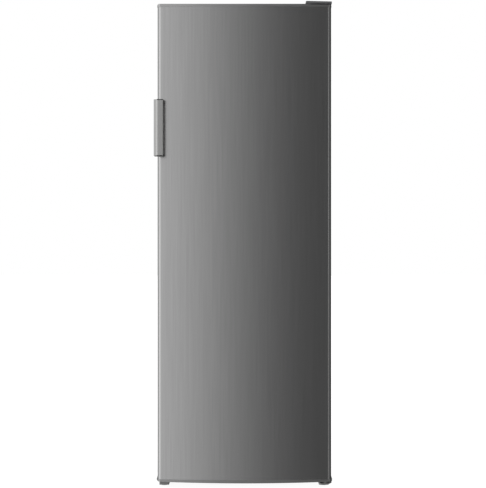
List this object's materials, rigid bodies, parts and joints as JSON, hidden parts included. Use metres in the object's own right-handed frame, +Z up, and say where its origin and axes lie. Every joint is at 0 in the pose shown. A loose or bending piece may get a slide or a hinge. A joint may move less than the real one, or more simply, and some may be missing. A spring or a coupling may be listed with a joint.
{
  "type": "upright refrigerator",
  "caption": "Tall single-door refrigerator with a bowed door hinged on its right, a short side handle, shelves, drawers, door racks and a compressor at the back.",
  "frame": {"origin": "on the floor, under the middle of the whole width and depth", "axes": "+Z up, +X towards the hinged side as seen from the front, +Y towards the back"},
  "size_m": [0.6097, 0.666, 1.6705],
  "materials": {
    "door_skin": "silver brushed sheet, the grain upright",
    "door_top_cap": "satin grey moulding",
    "door_bottom_cap": "satin grey moulding",
    "door_liner": "white formed sheet",
    "door_dyke": "white formed frame",
    "door_foam": null,
    "door_gasket": "soft grey",
    "door_rack_1": "clear",
    "door_rack_2": "clear",
    "door_rack_3": "clear",
    "bottle_rack": "clear",
    "bottle_holder": "white",
    "dairy_box": "white",
    "dairy_lid": "clear",
    "handle": "brushed along its length",
    "handle_end_caps": "dark",
    "handle_backing_plate": "plain plated strip",
    "handle_screws": "plated",
    "hinge_bushes": "slippery plastic",
    "top_hinge_plate": "grey",
    "top_hinge_pin": "plated",
    "top_hinge_screws": "plated",
    "hinge_cover": "dark grey moulding",
    "corner_plates": "grey",
    "bottom_hinge_pin": "plated",
    "foot_blocks": "satin grey moulding",
    "left_foot": "black",
    "right_foot": "black",
    "front_rail": "grey",
    "cabinet_wrap": "fine textured silver grey paint",
    "base_pan": "plain zinc look",
    "back_panel": "plain light grey",
    "cabinet_liner": "white formed sheet",
    "cabinet_foam": null,
    "shelf_glass": "clear",
    "crisper_cover": "clear",
    "shelf_trims": "white",
    "left_crisper": "clear",
    "right_crisper": "clear",
    "control_housing": "white",
    "lamp_cover": "frosted",
    "lamp": "frosted bulb",
    "thermostat": "dark",
    "thermostat_knob": "pale grey",
    "switch_housing": "white",
    "switch_plunger": "white",
    "carrier_plate": "plain zinc look",
    "roller_brackets": "plain zinc look",
    "left_roller": "black",
    "right_roller": "black",
    "compressor": "black enamel",
    "compressor_grommets": "black",
    "relay_box": "black",
    "evaporating_tray": "grey",
    "drain": "pale",
    "condenser": "black enamel",
    "condenser_clips": "black",
    "filter_drier": "copper coloured can",
    "refrigerant_lines": "copper coloured tube",
    "evaporator": "plain"
  },
  "bodies": {
    "cabinet": {"top_hinge_plate": "top_hinge_plate", "top_hinge_pin": "top_hinge_pin", "top_hinge_screws": "top_hinge_screws", "hinge_cover": "hinge_cover", "corner_plates": "corner_plates", "bottom_hinge_pin": "bottom_hinge_pin", "foot_blocks": "foot_blocks", "front_rail": "front_rail", "cabinet_wrap": "cabinet_wrap", "base_pan": "base_pan", "back_panel": "back_panel", "cabinet_liner": "cabinet_liner", "cabinet_foam": "cabinet_foam", "shelf_glass": "shelf_glass", "crisper_cover": "crisper_cover", "shelf_trims": "shelf_trims", "control_housing": "control_housing", "lamp_cover": "lamp_cover", "lamp": "lamp", "thermostat": "thermostat", "switch_housing": "switch_housing", "carrier_plate": "carrier_plate", "roller_brackets": "roller_brackets", "compressor": "compressor", "compressor_grommets": "compressor_grommets", "relay_box": "relay_box", "evaporating_tray": "evaporating_tray", "drain": "drain", "condenser": "condenser", "condenser_clips": "condenser_clips", "filter_drier": "filter_drier", "refrigerant_lines": "refrigerant_lines", "evaporator": "evaporator"},
    "door": {"door_skin": "door_skin", "door_top_cap": "door_top_cap", "door_bottom_cap": "door_bottom_cap", "door_liner": "door_liner", "door_dyke": "door_dyke", "door_foam": "door_foam", "door_gasket": "door_gasket", "door_rack_1": "door_rack_1", "door_rack_2": "door_rack_2", "door_rack_3": "door_rack_3", "bottle_rack": "bottle_rack", "dairy_box": "dairy_box", "handle": "handle", "handle_end_caps": "handle_end_caps", "handle_backing_plate": "handle_backing_plate", "handle_screws": "handle_screws", "hinge_bushes": "hinge_bushes"},
    "bottle_holder": {"bottle_holder": "bottle_holder"},
    "dairy_lid": {"dairy_lid": "dairy_lid"},
    "thermostat_knob": {"thermostat_knob": "thermostat_knob"},
    "switch_plunger": {"switch_plunger": "switch_plunger"},
    "left_crisper": {"left_crisper": "left_crisper"},
    "right_crisper": {"right_crisper": "right_crisper"},
    "left_foot": {"left_foot": "left_foot"},
    "right_foot": {"right_foot": "right_foot"},
    "left_roller": {"left_roller": "left_roller"},
    "right_roller": {"right_roller": "right_roller"}
  },
  "joints": [
    {"name": "door_hinge", "type": "hinge", "parent": "cabinet", "child": "door", "pos_m": [0.2795, -0.281, 0.84], "axis": [0, 0, 1], "range_deg": [0, 120]},
    {"name": "dairy_lid_hinge", "type": "hinge", "parent": "door", "child": "dairy_lid", "pos_m": [0, -0.232, 1.4435], "axis": [1, 0, 0], "range_deg": [0, 80]},
    {"name": "bottle_holder_slide", "type": "slide", "parent": "door", "child": "bottle_holder", "axis": [1, 0, 0], "range_m": [-0.15, 0.15]},
    {"name": "left_crisper_slide", "type": "slide", "parent": "cabinet", "child": "left_crisper", "axis": [0, -1, 0], "range_m": [0, 0.15]},
    {"name": "right_crisper_slide", "type": "slide", "parent": "cabinet", "child": "right_crisper", "axis": [0, -1, 0], "range_m": [0, 0.15]},
    {"name": "switch_plunger_slide", "type": "slide", "parent": "cabinet", "child": "switch_plunger", "axis": [0, -1, 0], "range_m": [0, 0.006]},
    {"name": "thermostat_knob_turn", "type": "hinge", "parent": "cabinet", "child": "thermostat_knob", "pos_m": [0.072, -0.115, 1.5925], "axis": [0, -1, 0], "range_deg": [-150, 150]},
    {"name": "left_foot_turn", "type": "hinge", "parent": "cabinet", "child": "left_foot", "pos_m": [-0.2773, -0.219, 0], "axis": [0, 0, 1], "continuous": true},
    {"name": "right_foot_turn", "type": "hinge", "parent": "cabinet", "child": "right_foot", "pos_m": [0.2747, -0.219, 0], "axis": [0, 0, 1], "continuous": true},
    {"name": "left_roller_spin", "type": "hinge", "parent": "cabinet", "child": "left_roller", "pos_m": [-0.2635, 0.269, 0.017], "axis": [1, 0, 0], "continuous": true},
    {"name": "right_roller_spin", "type": "hinge", "parent": "cabinet", "child": "right_roller", "pos_m": [0.2635, 0.269, 0.017], "axis": [1, 0, 0], "continuous": true}
  ],
  "couplings": [
    {"joint": "left_crisper_slide", "follows": "door_hinge", "m_per_rad": 0.0715},
    {"joint": "right_crisper_slide", "follows": "door_hinge", "m_per_rad": 0.0715},
    {"joint": "switch_plunger_slide", "follows": "door_hinge", "m_per_rad": 0.00286}
  ]
}
